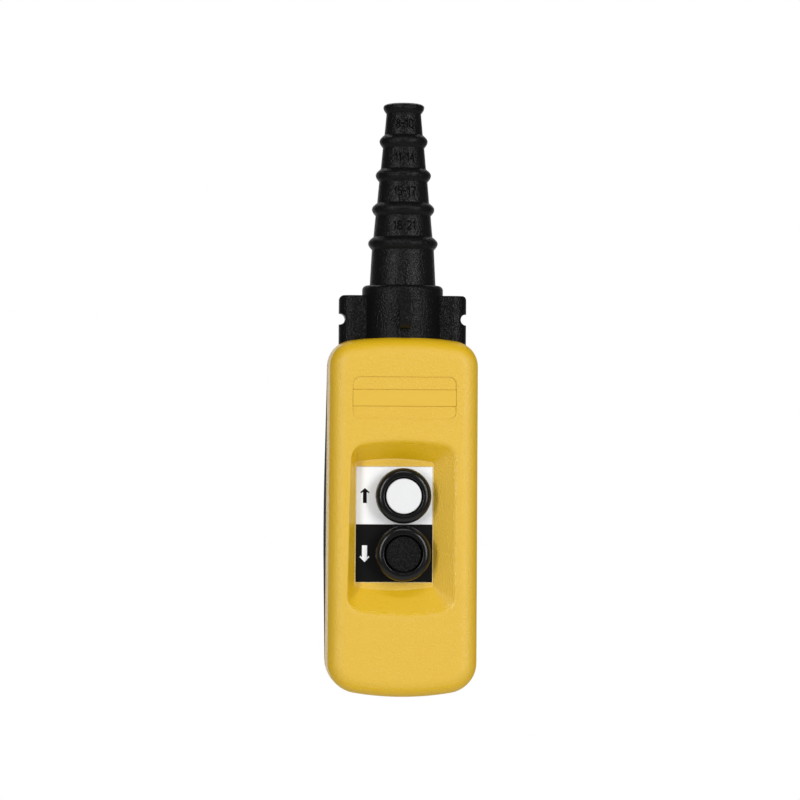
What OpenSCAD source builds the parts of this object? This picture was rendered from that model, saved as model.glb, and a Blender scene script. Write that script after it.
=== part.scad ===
// Two-button pendant station that hangs from its own cable.
// X is to the right of someone facing the buttons, Y runs to the back and Z up. The origin is the
// centre of the sleeve's mouth, where the cable enters. Heights are counted from the enclosure's foot
// and depths forward from the sleeve's axis, and hung() moves every piece down under the mouth.

/* [Enclosure] */
// Height of the enclosure at the crown of its arched top
body_h = 189.6; // [184:0.2:198]
// Width of the enclosure at its crown, at the joint of the two shells
body_w = 79.2; // [77:0.2:84]
// How much wider the enclosure is at its foot than at its crown
foot_flare = 0.8; // [0:0.1:1.5]
// How far the front shell's sides draw in between the joint and the face's rounded edge
side_draft = 0.9; // [0.3:0.1:1.2]
// Width of the bevels that leave a fine groove round the joint
joint_bevel = 0.4; // [0.2:0.1:0.6]
// Distance from the sleeve's axis forward to the front face
face_h = 29; // [28:0.25:32]
// Distance from the sleeve's axis forward to the joint of the two shells
parting_h = 3; // [2:0.5:5]
// Distance from the sleeve's axis back to the crown of the palm swell
palm_back = 41; // [36:0.5:46]
// Height of the palm swell's crown
palm_z = 92; // [84:1:104]
// Distance from the sleeve's axis back to the rear shell near its two ends
end_back = 28; // [27:0.25:32]
// How far the rear shell's sides swell past the front shell at the palm
side_swell = 0.9; // [0:0.1:1.2]
// Length of the straight stretch of the rear shell's sides at the palm
palm_run = 15; // [8:0.5:18]
// Length of the straight stretch of the rear shell's sides at its two ends
end_run = 3; // [2:0.5:6]
// Radius of the arched top
top_arch_r = 185; // [160:1:220]
// Radius of the arched foot
foot_arch_r = 150; // [105:1:220]
// Radius of the upper corners
top_corner_r = 14; // [12:0.5:18]
// Radius of the lower corners
foot_corner_r = 17; // [14:0.5:22]
// Radius of the front face's edge
edge_r = 9.5; // [8:0.25:10.5]
// Reach of the rear shell's rounding
rear_edge_r = 18; // [14:0.5:22]
// Wall thickness of both shells
wall = 2.8; // [2.2:0.1:3.2]
// Width of the gasket between the shells
gasket_w = 1.2; // [0.8:0.1:1.4]
// Depth of the gasket's groove in the rear shell
gasket_d = 1.5; // [1:0.1:2]

/* [Control recess] */
// Depth of the sunken panel below the front face
recess_d = 9; // [7:0.25:10]
// Thickness of the panel wall under the buttons
panel_wall = 3.5; // [3:0.1:4]
// Height of the panel's centre
panel_z = 91; // [86:0.2:96]
// Distance of the panel's centre to the left of the middle
panel_left = 4.6; // [4:0.05:5.5]
// Width of the sunken panel
panel_w = 40.8; // [40.4:0.1:43]
// Height of the sunken panel between the crowns of its arches
panel_h = 68.6; // [67:0.2:72]
// Radius of the arches above and below the sunken panel
panel_arch_r = 105; // [80:1:140]
// Width of the recess at the front face
rim_w = 54.9; // [53:0.1:57]
// Height of the recess at the front face between the crowns of its arches
rim_h = 91.6; // [88:0.2:96]
// Radius of the arches at the front face
rim_arch_r = 120; // [100:1:200]
// Radius of the recess's corners at the front face
rim_corner_r = 8; // [5:0.5:12]
// Distance of the recess's centre to the left of the middle at the front face
rim_left = 0; // [0:0.1:1]
// How much further left the rim's foot reaches than its crown
rim_lean = 1.8; // [0:0.1:2]
// How far the recess's centre at the front face lies below the panel's centre
rim_drop = 1.7; // [0:0.1:3]
// Share of the recess wall that its rounded lip takes
lip_share = 0.13; // [0.05:0.01:0.2]

/* [Legend and name plates] */
// Width of a legend plate
legend_w = 39.9; // [38:0.1:40]
// Height of a legend plate, which is also the spacing of the two buttons
legend_h = 30.1; // [29.9:0.1:31]
// Thickness of a legend plate
legend_t = 1; // [0.8:0.05:1.5]
// How far a legend plate stands proud of the panel
legend_proud = 0.2; // [0.1:0.05:0.4]
// Gap round a plate in its pocket
plate_gap = 0.15; // [0.1:0.05:0.2]
// Width of the name frame on the front face
name_w = 53.9; // [46:0.1:56]
// Height of the name frame
name_h = 22; // [18:0.1:24]
// Radius of the name frame's corners
name_r = 3.8; // [2:0.1:5]
// Distance from the enclosure's crown down to the name frame's centre
name_below = 32.5; // [29:0.1:34]
// Depth of the name frame
name_d = 0.5; // [0.3:0.05:0.7]
// Height of the bare insert bar in the name frame
insert_h = 8.7; // [7:0.1:12]
// Thickness of the insert bar
insert_t = 0.8; // [0.6:0.05:1]
// How far the insert bar stands below the front face
insert_low = 0.15; // [0.05:0.05:0.3]

/* [Buttons] */
// Outer diameter of a bezel
bezel_od = 29; // [28.6:0.1:29.7]
// Diameter of a bezel's crest
crest_d = 21.8; // [21.4:0.1:24]
// Diameter of a bezel's opening
opening_d = 20; // [19.6:0.1:20.2]
// How far a bezel stands above its legend plate
bezel_rise = 8.8; // [8:0.1:9.5]
// Diameter of a button cap
cap_d = 18.3; // [18:0.1:18.9]
// Thickness of a button cap
cap_t = 3.3; // [3:0.1:4]
// How far a cap's face stands past the bezel's crest
cap_proud = 0.5; // [0:0.1:1.5]
// Radius of a cap's rounded edge
cap_edge_r = 0.8; // [0.4:0.1:1.2]
// Travel of a button
travel = 4.5; // [3.5:0.1:4.6]
// Diameter of the barrel's threaded head, under the bezel
head_d = 24.9; // [24.5:0.1:25.5]
// Thickness of the barrel's head
head_t = 4; // [3.6:0.1:4.2]
// Outer diameter of the barrel's shank
shank_d = 22; // [21.6:0.1:22.4]
// Length of the barrel behind the panel
shank_l = 10.5; // [10:0.1:12]
// Diameter of the barrel's bore
barrel_bore_d = 19.4; // [19.2:0.1:19.8]
// Thickness of the shelf that guides the stem
shelf_t = 3; // [2:0.1:3.5]
// Length of the return spring when the button is pressed home
spring_shut = 4.2; // [4:0.1:4.6]
// Diameter of the push rod
rod_d = 8; // [7.4:0.1:8]
// Diameter of the stem's flange
flange_d = 14.4; // [13:0.1:15]
// Thickness of the stem's flange
flange_t = 1.8; // [1.2:0.1:2]
// Diameter of the stem's nose in the cap
nose_d = 10; // [8:0.1:11]
// Height of the stem's nose in the cap
nose_h = 1.9; // [1:0.1:2]
// Outer diameter of the clip ring on the push rod
clip_d = 12; // [11:0.1:13]
// Thickness of the clip ring
clip_t = 0.8; // [0.6:0.1:1]
// Outer diameter of the ring nut behind the panel
nut_d = 26.6; // [25.5:0.1:27]
// Thickness of the ring nut
nut_t = 4; // [3:0.1:5]
// Number of spanner notches in the ring nut
nut_notches = 6; // [4:1:8]
// Thickness of the flat seal under the barrel's head
seal_t = 0.7; // [0.5:0.05:1]
// Thickness of the rubber boot
boot_t = 0.5; // [0.4:0.05:0.6]
// Depth of the boot's roll
boot_roll = 1.3; // [0.8:0.1:1.8]
// Wire diameter of the return spring
return_wire = 0.8; // [0.6:0.05:0.9]
// Middle diameter of the return spring
return_d = 11.6; // [10:0.1:12.4]
// Turns of the return spring
return_turns = 3.5; // [3:0.5:4]

/* [Contact blocks] */
// Width of a contact block
block_w = 38; // [37:0.2:40]
// Height of a contact block
block_h = 26.8; // [26:0.1:28]
// Depth of a contact block
block_d = 26; // [25:0.2:28]
// Thickness of the block's front wall and of its cover
block_wall = 1.5; // [1.2:0.1:2]
// How far the block's spigot reaches into the barrel
spigot_l = 2; // [1:0.1:2.5]
// Side of the square plunger
plunger_w = 8; // [7.6:0.1:8.2]
// Length of the plunger's square body
plunger_l = 14.4; // [14:0.1:15.5]
// Diameter of the plunger's tail
tail_d = 5; // [4:0.1:6]
// Distance of the contact bridge behind the block's front
bridge_deep = 9; // [8:0.1:9.4]
// Thickness of the contact bridge
bridge_t = 0.8; // [0.6:0.05:1]
// Length of the contact bridge
bridge_l = 20.6; // [19:0.1:21]
// Width of the contact bridge
bridge_w = 4; // [3:0.1:4]
// Diameter of a contact rivet
rivet_d = 3; // [2.4:0.1:3.2]
// Height of a contact rivet
rivet_h = 0.4; // [0.3:0.05:0.5]
// Distance of a contact rivet from the button's axis
rivet_x = 8.7; // [8:0.1:8.8]
// Thickness of a terminal strip
strip_t = 1; // [0.8:0.1:1.2]
// Width of a terminal strip
strip_w = 5; // [4.4:0.1:5.6]
// Distance of a terminal screw from the button's axis
terminal_x = 14.5; // [14.4:0.1:15]
// Head diameter of a terminal screw
terminal_head_d = 5.6; // [5:0.1:5.8]
// Shank diameter of a terminal screw
terminal_screw_d = 3; // [2.6:0.1:3.2]
// Length of a terminal screw's shank
terminal_screw_l = 4.5; // [3.5:0.1:5]
// Height of the cover that closes a block's chamber from behind
block_cover_h = 13.4; // [12:0.1:14]
// Wire diameter of the contact spring
contact_wire = 0.5; // [0.35:0.05:0.5]
// Middle diameter of the contact spring
contact_spring_d = 3; // [2.4:0.1:3.2]
// Turns of the contact spring
contact_turns = 4.5; // [3.5:0.5:5]
// Distance of a fixing screw to the side of the button's axis
fixing_x = 15.2; // [15:0.1:15.6]
// Distance of a fixing screw above or below the button's axis
fixing_z = 9.8; // [9.4:0.1:10]
// Diameter of a pillar that carries a contact block
pillar_d = 6.4; // [5.6:0.1:7]
// Shank diameter of a fixing screw
fixing_d = 2.9; // [2.5:0.1:3]
// Head diameter of a fixing screw
fixing_head_d = 5.4; // [5:0.1:5.6]
// Distance of a fixing screw's head seat behind the block's front
fixing_seat = 8.7; // [7:0.1:10]
// Length of a fixing screw's shank
fixing_l = 17.2; // [15:0.1:18]

/* [Collar] */
// Outer diameter of the collar
collar_od = 42.8; // [41:0.1:43]
// Height of the collar's top above the enclosure's crown
collar_rise = 26.8; // [25:0.2:32]
// Radius of the collar's upper edge
collar_edge_r = 2.5; // [1:0.1:3]
// Width of the collar across its two ears
ear_span = 67.4; // [64:0.2:68]
// Thickness of the ears from front to back
ear_t = 19; // [17:0.2:21]
// Radius of the ears' upright corners
ear_round_r = 8; // [5:0.1:8.4]
// How far the ears' tops lie below the collar's top
ear_drop = 5.4; // [4:0.1:8]
// Radius of the ears' upper corners
ear_corner_r = 2.6; // [1:0.1:4]
// Height of the sling notches and eyes above the enclosure's crown
sling_rise = 8.9; // [8.6:0.1:10]
// Diameter of the sling notches
notch_d = 5.8; // [5:0.1:6]
// Distance of a notch's centre inside the ear's edge
notch_in = 0.4; // [0.2:0.1:0.8]
// Width of the two sling lugs
lug_w = 5.6; // [5.2:0.1:7]
// Diameter of the eyes through the lugs
eye_d = 5.7; // [5:0.1:6]
// Wall of the lug round its eye
eye_wall = 2.45; // [2:0.05:2.7]
// Distance of an eye's centre from the collar's surface
eye_out = 3.15; // [3.05:0.05:3.5]
// Thickness of the collar's trapped flange
collar_flange_t = 3; // [2.4:0.1:3.2]
// How far the trapped flange reaches past the collar
collar_flange_out = 2.4; // [1.5:0.1:2.8]
// Distance from the enclosure's crown down to the top of the trapped flange
flange_below = 12.5; // [12.3:0.1:14]
// Clearance round the collar in the shells
collar_gap = 0.15; // [0.1:0.05:0.25]
// Thickness of the webs above and below the trapped flanges
web_t = 2.5; // [2:0.1:2.6]

/* [Cable sleeve] */
// Height of the sleeve above the collar
sleeve_rise = 96.2; // [92:0.1:104]
// Number of stepped sections
sections = 5; // [4:1:5]
// Distance from one rib to the next
rib_pitch = 18; // [17:0.1:18.5]
// Distance from the mouth down to the crest of its lip
lip_down = 1.9; // [1.4:0.1:3]
// Outer diameter of the lip at the mouth
lip_od = 21.7; // [20:0.1:23]
// Diameter of the flat face round the mouth
mouth_d = 14.6; // [13:0.1:18]
// Growth of the rib diameter from one rib to the next
rib_step = 3.8; // [3.2:0.1:4]
// Height of a rib with its hollow flanks
rib_h = 7; // [5:0.1:8]
// Outer diameter at the top of the first section
section_od = 18.3; // [17.4:0.1:18.8]
// Growth of the section diameter from one section to the next
section_step = 3.65; // [3.2:0.01:3.65]
// Taper of one section on its diameter
section_taper = 2; // [1:0.1:2.4]
// Bore diameter of the first section
bore_d = 8; // [7:0.1:9]
// Growth of the bore diameter from one section to the next
bore_step = 3.5; // [3:0.1:3.6]
// Clearance of the sleeve's root in the collar, on the radius
sleeve_gap = 0.15; // [0.1:0.05:0.3]
// Outer diameter of the sleeve's trapped flange
sleeve_flange_d = 40; // [38:0.5:42]
// Thickness of the sleeve's trapped flange
sleeve_flange_t = 3; // [2.4:0.1:3.2]

/* [Screws and cable clamp] */
// Distance of a cover screw inside the enclosure's side
cover_in = 9.6; // [9.4:0.1:10.5]
// Height of the lower cover screws
cover_low = 20; // [18:0.5:26]
// Distance from the enclosure's crown down to the upper cover screws
cover_down = 25; // [24.5:0.1:27]
// Shank diameter of a cover screw
cover_d = 4; // [3.6:0.1:4.2]
// Head diameter of a cover screw
cover_head_d = 7.6; // [7:0.1:8]
// Head height of a cover screw
cover_head_t = 2.8; // [2:0.1:3]
// Distance from the shells' joint back to the seat of a cover screw's head
cover_seat = 8; // [6:0.5:10]
// Length of a cover screw's shank
cover_l = 22; // [18:0.5:24]
// Diameter of the boss round a cover screw in the rear shell
rear_boss_d = 12.6; // [12.2:0.1:13]
// Diameter of the boss round a cover screw in the front shell
front_boss_d = 8.4; // [7.6:0.1:9]
// Distance from the enclosure's crown down to the cable clamp
clamp_down = 38; // [34:0.5:46]
// Distance of a clamp screw from the middle
clamp_x = 17; // [16.4:0.1:19]
// Width of the clamp bar along the cable
clamp_w = 10; // [8:0.2:12]
// Thickness of the clamp bar
clamp_t = 2.6; // [2:0.1:3.4]
// Inner radius of the clamp bar's arch
clamp_arch_r = 6.5; // [5:0.1:8]
// Distance from the sleeve's axis back to the top of the clamp's pillars
clamp_back = 3; // [2:0.5:5]
// Diameter of a clamp pillar
clamp_pillar_d = 8; // [7:0.1:9]
// Shank diameter of a clamp screw
clamp_screw_d = 3.4; // [3:0.1:4]
// Head diameter of a clamp screw
clamp_head_d = 6.4; // [6:0.1:7]
// Length of a clamp screw's shank
clamp_screw_l = 13; // [10:0.5:16]
// Height of a pan screw's head other than the cover screws'
small_head_t = 2.2; // [1.8:0.1:2.4]

/* [Hidden] */
$fn = 96;
// Running clearance between a sliding piece and its guide, on the radius
slide_gap = 0.1;
// Clearance between pieces that are fixed together
seat_gap = 0.05;
// Clearance of a screw's shank in a through hole, on the radius
screw_gap = 0.2;
// Clearance round a screw's head or a plunger's head, on the radius
head_gap = 0.3;
// Room beyond a screw's tip
tip_room = 0.5;
// Width of the lower web's hole beyond the sleeve's widest bore
core_room = 6;
// Room at each end of the contact bridge
bridge_room = 0.5;
// Depth of the clip's groove on the push rod
clip_groove = 0.8;
// Exponent that hollows a rib's flanks and narrows its crest
rib_sharpness = 2.4;
rib_points = 7;
// Radius of the rounded edge of a bezel's opening
opening_edge_r = 0.6;
// Overlap of a cutter past the face that it opens
past = 1;
// Smallest corner radius of an inset outline
least_corner_r = 0.8;
// Exponent that makes the rear shell fuller than an ellipse
fullness = 0.8;
// Numbers of steps along a shell's outline: arch, corner, side and rounded edge
front_steps = [8, 10, 1, 9];
rear_steps = [6, 8, 14, 8];
inside_steps = [4, 5, 8, 5];
recess_steps = [7, 6, 1];

collar_top = body_h + collar_rise;
station_h = collar_top + sleeve_rise;
sling_z = body_h + sling_rise;
collar_r = collar_od / 2;
floor_h = face_h - recess_d;
floor_back_h = floor_h - panel_wall;
legend_top_h = floor_h + legend_proud;
up_z = panel_z + legend_h / 2;
down_z = panel_z - legend_h / 2;

head_base_h = legend_top_h + seal_t;
head_top_h = head_base_h + head_t;
lip_base_h = head_top_h + boot_t + 2 * seat_gap;
crest_h = legend_top_h + bezel_rise;
cap_top_h = crest_h + cap_proud;
cap_base_h = cap_top_h - cap_t;
block_face_h = floor_back_h - shank_l;
flange_top_h = cap_base_h - boot_t - 2 * seat_gap;
flange_base_h = flange_top_h - flange_t;
shelf_h = flange_base_h - travel - spring_shut;
rod_end_h = block_face_h + spigot_l;
clip_h = shelf_h - shelf_t - 3 * slide_gap;

block_back_h = block_face_h - block_d;
bridge_h = block_face_h - bridge_deep;
bridge_travel = travel / 2;
strip_h = bridge_h - bridge_t - bridge_travel - seat_gap - 2 * rivet_h;
strip_l = terminal_x - rivet_x + strip_w;
screw_seat_h = strip_h - strip_t;
fixing_seat_h = block_face_h - fixing_seat;
body_top_h = block_face_h - block_wall - slide_gap;
window_top_h = body_top_h - block_wall;
window_foot_h = bridge_h - bridge_t - seat_gap;
chamber_half = bridge_l / 2 + bridge_room;
channel_w = plunger_w + 2 * slide_gap;

flange_top_z = body_h - flange_below;
collar_foot_z = flange_top_z - collar_flange_t;
sleeve_foot_z = collar_foot_z - sleeve_flange_t;
clamp_z = body_h - clamp_down;
name_z = body_h - name_below;

// Moves a piece that is drawn above the enclosure's foot to its place under the mouth
module hung() {
    translate([0, 0, -station_h]) children();
}

// Turns what is drawn along +Z so that it points forward, on an axis at a height and a side distance
module facing(z, x = 0) {
    translate([x, 0, z]) rotate([90, 0, 0]) children();
}

// Points on an arc about a centre from one angle to another, with both ends
function arc(centre, r, from, to, steps) =
    [for (i = [0 : steps])
        let (a = from + (to - from) * i / steps)
        [centre[0] + r * cos(a), centre[1] + r * sin(a)]];

function without_last(list) = [for (i = [0 : len(list) - 2]) list[i]];
function without_first(list) = [for (i = [1 : len(list) - 1]) list[i]];

// How far the centre of a corner lies beyond the centre of the arch that it runs into
function corner_rise(half, arch, corner) = sqrt(pow(arch - corner, 2) - pow(half - corner, 2));

// Right half of an outline with arched ends, from its crown down to its foot
function half_outline(half, top, foot, arches, corners, steps) =
    let (
        up = corner_rise(half, arches[0], corners[0]),
        down = corner_rise(half, arches[1], corners[1]),
        top_turn = atan2(up, half - corners[0]),
        foot_turn = atan2(down, half - corners[1]),
        high = top - arches[0] + up,
        low = foot + arches[1] - down
    )
    concat(
        without_last(arc([0, top - arches[0]], arches[0], 90, top_turn, steps[0])),
        arc([half - corners[0], high], corners[0], top_turn, 0, steps[1]),
        [for (i = [1 : 1 : steps[2] - 1]) [half, high + (low - high) * i / steps[2]]],
        arc([half - corners[1], low], corners[1], 0, -foot_turn, steps[1]),
        without_first(arc([0, foot + arches[1]], arches[1], -foot_turn, -90, steps[0]))
    );

// Closed outline from its right half and the mirror image of that
function whole(half) =
    concat(half, [for (i = [len(half) - 2 : -1 : 1]) [-half[i][0], half[i][1]]]);

// Outline of the enclosure, drawn in by an inset and spread towards its foot
function body_outline(inset, steps) =
    [for (p = whole(half_outline(
        body_w / 2 - inset, body_h - inset, inset,
        [top_arch_r - inset, foot_arch_r - inset],
        [max(top_corner_r - inset, least_corner_r), max(foot_corner_r - inset, least_corner_r)],
        steps
    )))
        [p[0] * (1 + foot_flare / body_w * (1 - p[1] / body_h)), p[1]]];

// Solid through a row of outlines from front to back, with its ends closed by strips across them
module loft(rings) {
    n = len(rings[0]);
    half = n / 2;
    last = (len(rings) - 1) * n;
    points = [for (ring = rings) each ring];
    sides = [for (j = [0 : len(rings) - 2]) for (i = [0 : n - 1])
        let (a = j * n + i, b = j * n + (i + 1) % n)
        each [[a, a + n, b + n], [a, b + n, b]]];
    strips = concat(
        [[0, 1, n - 1]],
        [for (k = [1 : half - 2]) each [[k, k + 1, n - k - 1], [k, n - k - 1, n - k]]],
        [[half - 1, half, half + 1]]
    );
    ends = [for (s = strips) each [s, [last + s[2], last + s[1], last + s[0]]]];
    polyhedron(points, concat(sides, ends));
}

// Outlines of the front shell's form from its face to the joint, or of its hollow for a skin of wall
function front_rings(skin, steps) =
    let (r = edge_r - skin, bevel = skin > 0 ? 0 : joint_bevel)
    concat(
        [for (i = [0 : steps[3]])
            let (a = 90 * i / steps[3])
            [for (p = body_outline(skin + side_draft + r * (1 - sin(a)), steps))
                [p[0], skin + r * (1 - cos(a)) - face_h, p[1]]]],
        [[for (p = body_outline(skin, steps)) [p[0], -parting_h - bevel, p[1]]]],
        [[for (p = body_outline(skin + bevel, steps)) [p[0], (skin > 0 ? past : 0) - parting_h, p[1]]]]
    );

// Share of the palm swell at a height: 1 at its crown and 0 at the enclosure's two ends
function swell(z) =
    let (reach = z > palm_z ? body_h - palm_z : palm_z)
    pow(cos(90 * min(abs(z - palm_z) / reach, 1)), 2);

// One point of the rear shell's form, on an outline at a share of the straight side and of the rounding
function rear_point(p, skin, side, turn) =
    let (
        s = swell(p[1]),
        run = end_run + (palm_run - end_run) * s,
        deep = end_back + (palm_back - end_back) * s + parting_h - skin,
        wide = 1 + side_swell * s * sin(90 * side) / (body_w / 2)
    )
    [p[0] * wide, run * side + (deep - run) * pow(sin(turn), fullness) - parting_h, p[1]];

// Outlines of the rear shell's form from the joint to its back, or of its hollow for a skin of wall
function rear_rings(skin, steps) =
    let (
        r = rear_edge_r - skin,
        joint = skin > 0 ? [skin, -past, 0] : [joint_bevel, 0, joint_bevel]
    )
    concat(
        [[for (p = body_outline(joint[0], steps)) [p[0], joint[1] - parting_h, p[1]]]],
        [[for (p = body_outline(skin, steps)) [p[0], joint[2] - parting_h, p[1]]]],
        [[for (p = body_outline(skin, steps)) rear_point(p, skin, 0.5, 0)]],
        [for (i = [0 : steps[3]])
            let (a = 90 * i / steps[3])
            [for (p = body_outline(skin + r * (1 - pow(cos(a), fullness)), steps)) rear_point(p, skin, 1, a)]]
    );

// Outline of the recess at a share of its wall, from 0 on the panel to 1 at the front face
function recess_outline(share, grow) =
    let (
        floor_ring = whole(half_outline(
            panel_w / 2 + grow, panel_h / 2 + grow, -panel_h / 2 - grow,
            [panel_arch_r + grow, panel_arch_r + grow], [least_corner_r + grow, least_corner_r + grow],
            recess_steps
        )),
        rim_ring = whole(half_outline(
            rim_w / 2 + grow, rim_h / 2 + grow, -rim_h / 2 - grow,
            [rim_arch_r + grow, rim_arch_r + grow], [rim_corner_r + grow, rim_corner_r + grow],
            recess_steps
        ))
    )
    [for (i = [0 : len(rim_ring) - 1])
        let (
            low = floor_ring[i] + [-panel_left, panel_z],
            rim = rim_ring[i],
            lean = rim_lean * min(rim[0] / rim_w, 0) * (1 - 2 * rim[1] / rim_h),
            high = rim + [lean - rim_left, panel_z - rim_drop]
        )
        low + (high - low) * share];

// Form that sinks the panel: straight walls with a rounded lip at the front face
module recess(grow = 0, back = 0) {
    lip_steps = 5;
    lip = [for (i = [lip_steps : -1 : 0])
        let (t = i / lip_steps)
        [1 - lip_share * pow(1 - t, 2) + lip_share * pow(t, 2), 1 - lip_share * pow(1 - t, 2)]];
    shares = concat([[1 + lip_share, 1 + past / recess_d]], lip, [[0, 0]]);
    loft([for (s = shares)
        [for (p = recess_outline(s[0], grow)) [p[0], back - floor_h - s[1] * recess_d, p[1]]]]);
}

// Flat outline of the collar's block seen from above, grown by a clearance
module collar_plan(grow) {
    rounded_bar(ear_span + 2 * grow, ear_t + 2 * grow, ear_round_r + grow);
    circle(r = collar_r + grow);
}

// Bar with four rounded corners, centred on the origin
module rounded_bar(w, d, r) {
    square([w - 2 * r, d], center = true);
    square([w, d - 2 * r], center = true);
    for (x = [-1, 1]) {
        for (y = [-1, 1]) {
            translate([x * (w / 2 - r), y * (d / 2 - r)]) circle(r = r);
        }
    }
}

// Space that the collar's block takes up through both shells
module collar_opening() {
    translate([0, 0, flange_top_z]) linear_extrude(body_h) collar_plan(collar_gap);
}

// Two webs across a shell that trap the flanges of the collar and of the sleeve
module flange_webs() {
    for (z = [flange_top_z, sleeve_foot_z - web_t]) {
        translate([-body_w, -face_h * 2, z]) cube([2 * body_w, face_h * 4, web_t]);
    }
}

// Hole through the lower web for the cable's cores
module core_passage() {
    translate([0, 0, sleeve_foot_z - web_t - past])
        cylinder(d = sleeve_bore(sections - 1) + core_room, h = web_t + 2 * past);
}

// Places of the four cover screws
module at_cover_screws() {
    for (x = [-1, 1]) {
        for (z = [cover_low, body_h - cover_down]) {
            facing(z, x * (body_w / 2 - cover_in)) children();
        }
    }
}

// Places of the two fixing screws of one contact block
module at_fixings(z) {
    for (side = [-1, 1]) {
        facing(z + side * fixing_z, side * fixing_x) children();
    }
}

// Places of the two screws of the cable clamp
module at_clamp_screws() {
    for (side = [-1, 1]) {
        facing(clamp_z, side * clamp_x) children();
    }
}

module front_shell() {
    face_back_h = face_h - wall;
    color("gold") hung() difference() {
        loft(front_rings(0, front_steps));
        difference() {
            loft(front_rings(wall, inside_steps));
            recess(wall, panel_wall);
            flange_webs();
            at_cover_screws() cylinder(d = front_boss_d, h = face_back_h + past);
            for (z = [up_z, down_z]) {
                at_fixings(z) translate([0, 0, block_face_h])
                    cylinder(d = pillar_d, h = face_h - block_face_h);
            }
        }
        recess();
        legend_pocket();
        name_frame();
        collar_opening();
        core_passage();
        trapped_flanges();
        at_cover_screws() cylinder(d = cover_d, h = parting_h + cover_l - cover_seat + past);
        for (z = [up_z, down_z]) {
            facing(z) cylinder(d = shank_d + 2 * plate_gap, h = face_h);
            at_fixings(z) cylinder(d = fixing_d, h = floor_back_h);
        }
    }
}

// Pocket in the panel that takes the two legend plates
module legend_pocket() {
    pocket_w = legend_w + 2 * plate_gap;
    pocket_h = 2 * legend_h + 2 * plate_gap;
    translate([-panel_left - pocket_w / 2, -floor_h - past, panel_z - pocket_h / 2])
        cube([pocket_w, past + legend_t - legend_proud, pocket_h]);
}

// Shallow frame in the front face, with a deeper seat for the insert bar
module name_frame() {
    facing(name_z) {
        translate([0, 0, face_h - name_d]) linear_extrude(name_d + past) rounded_bar(name_w, name_h, name_r);
        translate([0, 0, face_h - insert_low - insert_t])
            linear_extrude(insert_t + past) square([name_w, insert_h], center = true);
    }
}

// Space between the webs for the flanges of the collar and of the sleeve
module trapped_flanges() {
    translate([0, 0, sleeve_foot_z])
        cylinder(r = collar_r + collar_flange_out + collar_gap, h = flange_top_z - sleeve_foot_z);
}

module rear_shell() {
    color("#1c1c1c") hung() difference() {
        loft(rear_rings(0, rear_steps));
        difference() {
            loft(rear_rings(wall, inside_steps));
            flange_webs();
            at_cover_screws() mirror([0, 0, 1]) cylinder(d = rear_boss_d, h = palm_back);
            at_clamp_screws() translate([0, 0, -palm_back])
                cylinder(d = clamp_pillar_d, h = palm_back - clamp_back);
        }
        collar_opening();
        core_passage();
        trapped_flanges();
        at_cover_screws() mirror([0, 0, 1]) {
            translate([0, 0, -parting_h - past])
                cylinder(d = cover_d + 2 * screw_gap, h = cover_seat + 2 * past);
            translate([0, 0, cover_seat - parting_h])
                cylinder(d = cover_head_d + 2 * head_gap, h = palm_back);
        }
        at_clamp_screws() translate([0, 0, -clamp_back - clamp_screw_l])
            cylinder(d = clamp_screw_d, h = clamp_screw_l + past);
        gasket_ring(gasket_d, past);
    }
}

// Ring round the joint, from a depth behind it to a distance in front of it
module gasket_ring(deep, ahead = 0) {
    middle = wall / 2;
    translate([0, deep - parting_h, 0]) rotate([90, 0, 0]) linear_extrude(deep + ahead) difference() {
        polygon(body_outline(middle - gasket_w / 2, inside_steps));
        polygon(body_outline(middle + gasket_w / 2, inside_steps));
    }
}

module shell_gasket() {
    color("#303030") hung() difference() {
        gasket_ring(gasket_d);
        collar_opening();
    }
}

// Pan-head screw that points forward, with its head's seat on the origin and a cross recess in the head
module pan_screw(shank_d, shank_l, head_d, head_t) {
    rounding = head_t * 0.65;
    rim_t = head_t - rounding;
    cross_t = head_t * 0.6;
    cross_w = head_d * 0.14;
    cross_l = head_d * 0.56;
    difference() {
        union() {
            cylinder(d = shank_d, h = shank_l);
            mirror([0, 0, 1]) rotate_extrude() polygon(concat(
                [[0, 0], [head_d / 2, 0], [head_d / 2, rim_t]],
                arc([head_d / 2 - rounding, rim_t], rounding, 10, 90, 5),
                [[0, head_t]]
            ));
        }
        translate([0, 0, -head_t - past]) for (turn = [0, 90]) {
            rotate([0, 0, turn]) translate([-cross_l / 2, -cross_w / 2, 0])
                cube([cross_l, cross_w, cross_t + past]);
        }
    }
}

module cover_screws() {
    color("silver") hung() at_cover_screws()
        translate([0, 0, parting_h - cover_seat]) pan_screw(cover_d, cover_l, cover_head_d, cover_head_t);
}

module name_insert() {
    color("gold") hung() facing(name_z) translate([0, 0, face_h - insert_low - insert_t])
        linear_extrude(insert_t) square([name_w - 2 * plate_gap, insert_h - 2 * plate_gap], center = true);
}

// Side view of a sling lug, drawn as distance from the sleeve's axis against height
module lug_profile() {
    eye = [collar_r + eye_out, sling_z];
    lug_r = eye_d / 2 + eye_wall;
    start = [collar_r, collar_top - collar_edge_r];
    to_start = start - eye;
    turn = atan2(to_start[1], to_start[0]) - acos(lug_r / norm(to_start));
    root = collar_r - eye_wall;
    polygon(concat([[root, start[1]], start], arc(eye, lug_r, turn, -90, 14), [[root, eye[1] - lug_r]]));
}

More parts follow.
